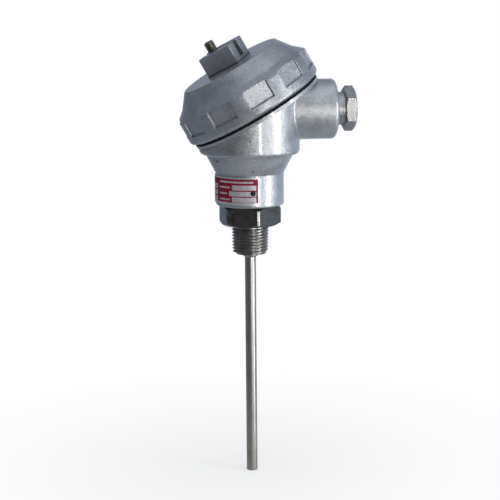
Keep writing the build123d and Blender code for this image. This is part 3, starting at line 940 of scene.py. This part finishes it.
@dataclass
class CapBody:
    """The screw cap as it was cast: a bell with square pockets and a slotted lug, edges broken."""

    radius: float = 41.2
    base: float = 1.6
    rim_round: float = 2.1
    bore_radius: float = 36.5
    bore_end: float = 15.0
    skirt: float = 16.2
    shoulder: Pair = (36.0, 20.6)
    crown: Pair = (29.2, 29.4)
    wall: float = 2.8
    knee: float = 0.45
    knee_shares: tuple[float, ...] = (-1.0, -0.5, 0.0, 0.5, 1.0)
    rim_steps: int = 7
    slope_row: float = 25.0
    crown_row: float = 0.35
    crown_edge: tuple[Pair, ...] = ((0.08, -0.17), (-0.12, -0.05), (-0.4, 0.0))
    pockets: int = 11
    pocket_turn: float = -86.5
    pocket_width: float = 14.6
    pocket_floor: float = 39.55
    pocket_bottom: float = 7.2
    pocket_columns: tuple[float, ...] = (-4.0, -1.4, 1.4, 4.0)
    gap_columns: int = 4
    mouth_rows: tuple[float, ...] = (-0.1, 0.0, 0.2)
    edge_depths: tuple[float, ...] = (-0.4, -0.15, 0.0, 0.08, 0.2, 0.5)
    edge_shares: tuple[float, ...] = (0.0, 0.07, 0.25, 0.75, 0.93, 1.0)
    lug: tuple[float, float, float] = (21.0, 18.6, 11.3)
    lug_turn: float = -32.0
    lug_slot: Pair = (5.0, 9.6)
    lug_edge: float = 0.55
    drill_steps: int = 48
    lug_root: float = 0.4
    stud_hole: tuple[float, float, float] = (3.05, -4.3, 1.6)
    sharp: float = 50.0

    def columns(self) -> tuple[Array, Array]:
        """Place the mesh's columns, close together at the sides of the pockets.

        Returns:
            The angle of each column, and its distance from its pocket's middle in millimetres.
        """
        half, middle = self.pocket_width / 2, (self.radius + self.pocket_floor) / 2
        side = [half - depth for depth in self.edge_depths]
        across = np.array(sorted([*side, *(-x for x in side), *self.pocket_columns]))
        pitch = 2 * math.pi / self.pockets
        turns = np.arcsin(across / middle)
        gap = np.linspace(turns[-1], pitch + turns[0], self.gap_columns + 2)[1:-1]
        first = math.radians(self.pocket_turn)
        angles = [first + pitch * number + turn for number in range(self.pockets)
                  for turn in (*turns, *gap)]
        clear = half - 2 * self.edge_depths[0]
        spread = [*across, *([clear] * len(gap))] * self.pockets
        angles.append(angles[0] + 2 * math.pi)
        spread.append(spread[0])
        return np.array(angles), np.abs(np.array(spread))

    def outside(self, height: Array) -> Array:
        """Give the radius of the bell's outside at each height, its knees rounded.

        Args:
            height: The heights.

        Returns:
            The radii.
        """
        heights = (self.skirt, self.shoulder[1], self.crown[1])
        radii = (self.radius, self.shoulder[0], self.crown[0])
        return np.mean([np.interp(height + self.knee * share, heights, radii)
                        for share in self.knee_shares], axis=0)

    def bell(self) -> Piece:
        """Build the bell with its pockets.

        Returns:
            The bell, standing on the origin.
        """
        angles, spread = self.columns()
        stack = Stack(angles)
        half = self.pocket_width / 2
        crown_radius, crown_height = self.crown
        stack.turn((crown_radius - self.wall, crown_height - self.wall),
                   (self.shoulder[0] - self.wall, self.shoulder[1] - self.wall),
                   (self.bore_radius, self.bore_end), (self.bore_radius, self.base))
        centre = (self.radius - self.rim_round, self.base + self.rim_round)
        for turn in np.linspace(-math.pi / 2, 0.0, self.rim_steps):
            stack.turn((centre[0] + self.rim_round * math.cos(turn),
                        centre[1] + self.rim_round * math.sin(turn)))
        inside = np.interp(half - spread, self.edge_depths, self.edge_shares)
        floor = self.pocket_floor / np.cos(np.arcsin(np.minimum(spread, half) / self.radius))
        fall = (self.shoulder[1] - self.skirt) / (self.radius - self.shoulder[0])
        mouth = self.skirt + (self.radius - floor) * fall
        knee = self.knee * np.array(self.knee_shares)
        rows = [self.pocket_bottom + depth for depth in self.edge_depths]
        rows += [*(self.skirt + knee), *(mouth + row for row in self.mouth_rows)]
        rows += [*(self.shoulder[1] + knee), self.slope_row, crown_height - self.crown_row]
        for row in rows:
            height = np.broadcast_to(row, angles.shape)
            rise = np.interp(height - self.pocket_bottom, self.edge_depths, self.edge_shares)
            outside = self.outside(np.minimum(height, crown_height - self.knee))
            cut = inside * rise * np.maximum(outside - floor, 0.0)
            stack.put(ring(angles, outside - cut, height))
        stack.turn(*((crown_radius + out, crown_height + up) for out, up in self.crown_edge))
        return stack.make("cap_body", Datum(), sharp=self.sharp)

    def slotted_lug(self) -> Piece:
        """Build the lug, its edges broken all round.

        Returns:
            The lug, where it meets the bell.
        """
        length, width, rise = self.lug
        slot_width, slot_depth = self.lug_slot
        low, top = self.crown[1] - self.lug_root, self.crown[1] + rise
        outer, inner, sill = width / 2, slot_width / 2, top - slot_depth
        outline = ((-outer, low), (outer, low), (outer, top), (inner, top), (inner, sill),
                   (-inner, sill), (-inner, top), (-outer, top))
        mesh = bmesh.new()
        face = mesh.faces.new([mesh.verts.new((-length / 2, v, h)) for v, h in outline])
        grown = bmesh.ops.extrude_face_region(mesh, geom=[face])["geom"]
        bmesh.ops.translate(mesh, verts=[item for item in grown
                                         if isinstance(item, bmesh.types.BMVert)],
                            vec=(length, 0.0, 0.0))
        bmesh.ops.recalc_face_normals(mesh, faces=mesh.faces)
        foot = low + self.lug_root / 4
        edges = [edge for edge in mesh.edges if max(vert.co.z for vert in edge.verts) > foot]
        bmesh.ops.bevel(mesh, geom=edges, offset=self.lug_edge, segments=3, profile=0.5,
                        affect="EDGES")
        mesh.transform(Matrix.Rotation(math.radians(self.lug_turn), 4, "Z"))
        mesh.transform(Datum().matrix())
        return finish_mesh("lug_blank", mesh, self.sharp)

    def build(self) -> list[Piece]:
        """Build the cap.

        Returns:
            The one piece.
        """
        piece = self.bell()
        combine(piece, self.slotted_lug(), "UNION")
        hole_radius, hole_offset, hole_sink = self.stud_hole
        turn = math.radians(self.lug_turn)
        sill = self.crown[1] + self.lug[2] - self.lug_slot[1]
        datum = Datum(Vector((hole_offset * math.cos(turn), hole_offset * math.sin(turn), 0.0)))
        drill = Stack(circle(self.drill_steps)).turn(
            (hole_radius, sill - hole_sink), (hole_radius, self.crown[1] + self.lug[2] + 1.0))
        combine(piece, drill.make("stud_drill", datum), "DIFFERENCE")
        piece.data.transform(FACE.matrix() @ Datum().matrix().inverted())
        piece.data.set_sharp_from_angle(angle=math.radians(self.sharp))
        piece.modifiers.new("flat_faces", "WEIGHTED_NORMAL").keep_sharp = True
        dress(piece, CAP_COAT_SHADED)
        settle(piece, Body.CAP, Slot.CAP, "screw_cap")
        return [piece]


@dataclass
class CollarThread:
    """The coarse thread round the collar, which shows once the cap is screwed up."""

    root_radius: float = 36.1
    crest_radius: float = 36.42
    pitch: float = 2.5
    flat: float = 0.28
    sink: float = 0.3
    steps: int = 160
    low: float = 2.2
    high: float = 12.0

    def build(self) -> list[Piece]:
        """Build the thread's ridge.

        Returns:
            The one piece.
        """
        thread = Thread(self.pitch, self.crest_radius - self.root_radius, self.flat)
        stack = Stack(circle(self.steps)).turn((self.root_radius - self.sink, self.low))
        stack.rings += thread.rows(stack.angles, self.low, self.high,
                                   lambda height: np.full_like(height, self.crest_radius))
        stack.turn((self.root_radius - self.sink, self.high))
        piece = stack.make("collar_thread", FACE, loop=True)
        dress(piece, HOUSING_COAT)
        settle(piece, Body.HEAD, Slot.CASTING)
        return [piece]


@dataclass
class FrameNodes:
    """The nodes of the frame that keep their own shape, each with its finish."""

    finishes: dict[str, Finish] = field(default_factory=lambda: {
        "housing": HOUSING_COAT, "cap_gasket": RUBBER,
        "gland_grommet": RUBBER, "gland_washer": SCREW_STEEL, "gland_nut": GLAND_PLATING,
        "sheath_tube": SHEATH_STEEL, "hot_junction": WIRE, "insulation_core": CORE_CERAMIC,
        "lead_seal": SEAL, "terminal_block": CERAMIC, "terminal_bar": BRASS,
        "thermo_wire": WIRE, "block_screw": SCREW_STEEL, "clamp_washer": SCREW_STEEL,
        "terminal_screw": SCREW_STEEL})

    def dress(self, nodes: dict[str, Piece]) -> int:
        """Give each shown node its finish.

        Args:
            nodes: The frame's nodes by name.

        Returns:
            How many nodes were dressed.
        """
        count = 0
        for name, node in nodes.items():
            match = [key for key in self.finishes if name.startswith(key)]
            if match and not node.hide_render:
                dress(node, self.finishes[max(match, key=len)])
                count += 1
        return count


# Studio


@dataclass
class Viewpoint:
    """The camera, placed as the photograph was taken."""

    turn: float = 7.5
    rise: float = 10.4
    roll: float = -0.5
    focal: float = 1450.0
    mm_per_pixel: float = 0.572
    origin_pixel: Pair = (250.1, 223.9)
    image: float = 500.0
    sensor: float = 36.0

    def directions(self) -> tuple[Vector, Vector, Vector]:
        """Work out how the camera is turned.

        Returns:
            Its right, up and backward directions.
        """
        turn, rise = math.radians(self.turn), math.radians(self.rise)
        back = Vector((-math.sin(turn) * math.cos(rise), -math.cos(turn) * math.cos(rise),
                       math.sin(rise)))
        right = Vector((math.cos(turn), -math.sin(turn), 0.0))
        spin = Matrix.Rotation(math.radians(self.roll), 3, back)
        return spin @ right, spin @ back.cross(right), back

    def place(self) -> Piece:
        """Create the camera and make it the scene's.

        Returns:
            The camera.
        """
        right, up, back = self.directions()
        depth = self.focal * self.mm_per_pixel
        across = (self.origin_pixel[0] - self.image / 2) * self.mm_per_pixel
        down = (self.origin_pixel[1] - self.image / 2) * self.mm_per_pixel
        data = bpy.data.cameras.new("camera")
        data.sensor_width = self.sensor
        data.lens = self.focal / self.image * self.sensor
        camera = show("camera", data)
        turn = Matrix((right, up, back)).transposed().to_4x4()
        place = -(right * across - up * down - back * depth) * MM
        camera.matrix_world = Matrix.Translation(place) @ turn
        bpy.context.scene.camera = camera
        return camera


@dataclass
class Softbox:
    """A rectangular studio lamp that faces the object."""

    name: str
    azimuth: float
    rise: float
    distance: float
    width: float
    height: float
    power: float
    colour: Rgb = WHITE

    def place(self, front: float) -> Piece:
        """Create the lamp.

        Args:
            front: Azimuth of the camera about the object, in degrees.

        Returns:
            The lamp.
        """
        data = bpy.data.lights.new(self.name, "AREA")
        data.shape, data.size, data.size_y = "RECTANGLE", self.width, self.height
        data.energy, data.color = self.power, self.colour
        lamp = show(self.name, data)
        out = direction(front + self.azimuth, self.rise)
        lamp.matrix_world = (Matrix.Translation(out * self.distance)
                             @ out.to_track_quat("Z", "Y").to_matrix().to_4x4())
        return lamp


@dataclass
class Studio:
    """The pale floor, the white surroundings, the lamps and the camera."""

    view: Viewpoint = field(default_factory=Viewpoint)
    floor_height: float = -146.6
    floor_radius: float = 0.42
    floor_fade: Pair = (0.02, 0.22)
    floor_white: float = 0.6
    floor_colour: Rgb = (0.93, 0.93, 0.93)
    floor_cloud: float = 40.0
    floor_rough: Pair = (0.7, 0.8)
    ambient: Rgb = (0.46, 0.47, 0.49)
    room: tuple[tuple[float, Rgb], ...] = (
        (-180.0, (0.52, 0.58, 0.68)), (-148.0, (0.17, 0.20, 0.26)), (-95.0, (0.20, 0.22, 0.26)),
        (-60.0, (0.11, 0.115, 0.125)), (-20.0, (0.085, 0.083, 0.078)), (5.0, (0.13, 0.127, 0.12)),
        (40.0, (0.18, 0.18, 0.175)), (90.0, (0.14, 0.17, 0.21)), (118.0, (0.42, 0.52, 0.66)),
        (140.0, (0.50, 0.59, 0.72)), (180.0, (0.52, 0.58, 0.68)),
    )
    ceiling: Rgb = (0.28, 0.32, 0.385)
    ceiling_span: Pair = (0.15, 0.6)
    ground: Rgb = (0.28, 0.31, 0.36)
    ground_span: Pair = (-0.75, -0.3)
    lamps: tuple[Softbox, ...] = (
        Softbox("strip_near", 25.0, -1.0, 1.0, 0.09, 0.46, 2.6, (1.0, 0.98, 0.95)),
        Softbox("strip_side", 66.0, 0.0, 0.9, 0.26, 0.7, 5.2, (0.96, 0.985, 1.0)),
        Softbox("panel_top", 20.0, 66.0, 1.1, 1.4, 1.4, 4.5, (0.93, 0.96, 1.0)),
    )

    @property
    def front(self) -> float:
        """Azimuth of the camera about the object, in degrees."""
        return 270.0 - self.view.turn

    def surround(self) -> None:
        """Set the surroundings: white behind, a darker room in front, and even light."""
        world = bpy.data.worlds.new("surroundings")
        world.use_nodes = True
        bpy.context.scene.world = world
        graph = Graph(world.node_tree)
        parts = graph.add("ShaderNodeSeparateXYZ",
                          {0: graph.add("ShaderNodeTexCoord").outputs["Generated"]}).outputs
        azimuth = graph.math("ARCTAN2", parts[1], parts[0])
        # The ramp goes once round the object, and its middle lies toward the camera
        turns = graph.math("ADD", graph.math("DIVIDE", azimuth, 2 * math.pi),
                           1.5 - self.front / 360.0)
        ramp = graph.add("ShaderNodeValToRGB", {0: graph.math("FRACT", turns)})
        elements = ramp.color_ramp.elements
        while len(elements) < len(self.room):
            elements.new(0.5)
        for element, (angle, colour) in zip(elements, self.room):
            element.position, element.color = 0.5 + angle / 360.0, (*colour, 1.0)
        high = graph.span(parts[2], *self.ceiling_span, 0.0, 1.0)
        low = graph.span(parts[2], *self.ground_span, 1.0, 0.0)
        seen = graph.blend(high, ramp.outputs[0], self.ceiling)
        seen = graph.blend(low, seen, self.ground)
        path = graph.add("ShaderNodeLightPath").outputs
        seen = graph.blend(path["Is Camera Ray"], seen, WHITE)
        shown = graph.math("MAXIMUM", path["Is Camera Ray"], path["Is Glossy Ray"])
        shown = graph.math("MAXIMUM", shown, path["Is Transmission Ray"])
        background = world.node_tree.nodes["Background"]
        graph.set(background.inputs["Color"], graph.blend(shown, self.ambient, seen))

    def floor(self) -> Piece:
        """Lay the pale floor that the probe stands on.

        Returns:
            The floor.
        """
        mesh = bmesh.new()
        bmesh.ops.create_circle(mesh, cap_ends=True, segments=96, radius=self.floor_radius)
        mesh.transform(Matrix.Translation((0, 0, self.floor_height * MM)))
        floor = finish_mesh("floor", mesh, 30.0)
        material = bpy.data.materials.new("pale_floor")
        material.use_nodes = True
        graph = Graph(material.node_tree)
        shader = material.node_tree.nodes["Principled BSDF"]
        point = graph.place()
        clouds = graph.noise(point, self.floor_cloud)
        rough = graph.span(clouds, *NOISE_SPAN, *self.floor_rough)
        graph.fill(shader, {"Base Color": self.floor_colour, "Roughness": rough,
                            "Specular IOR Level": 0.0})
        reach = graph.vector("MULTIPLY", point, (MM, MM, 0.0))
        length = graph.add("ShaderNodeVectorMath", {0: reach}, operation="LENGTH").outputs["Value"]
        fade = graph.span(length, *self.floor_fade, self.floor_white, 1.0)
        white = graph.add("ShaderNodeEmission", {"Color": WHITE, "Strength": 1.0})
        clear = graph.add("ShaderNodeBsdfTransparent")
        path = graph.add("ShaderNodeLightPath").outputs
        edge = graph.add("ShaderNodeMixShader", {0: path["Is Camera Ray"], 1: clear.outputs[0],
                                                 2: white.outputs[0]})
        mixed = graph.add("ShaderNodeMixShader", {0: fade, 1: shader.outputs[0],
                                                  2: edge.outputs[0]})
        output = material.node_tree.nodes["Material Output"]
        graph.set(output.inputs["Surface"], mixed.outputs[0])
        floor.data.materials.append(material)
        return floor

    def build(self) -> None:
        """Set up the whole studio."""
        bpy.context.scene.view_settings.view_transform = "Standard"
        self.surround()
        self.floor()
        for lamp in self.lamps:
            lamp.place(self.front)
        self.view.place()


def main() -> None:
    """Load the frame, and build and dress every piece."""
    logging.basicConfig(level=logging.INFO, format="%(message)s")
    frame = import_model()
    for part in (Nipple(), Nameplate(), Rivets(), LugStud(), CapBody(), CollarThread()):
        for piece in part.build():
            log.info("%s: %d faces", piece.name, len(piece.data.polygons))
    log.info("frame nodes dressed: %d", FrameNodes().dress(frame["nodes"]))
    Studio().build()
    log.info("studio ready")


if __name__ == "__main__":
    main()
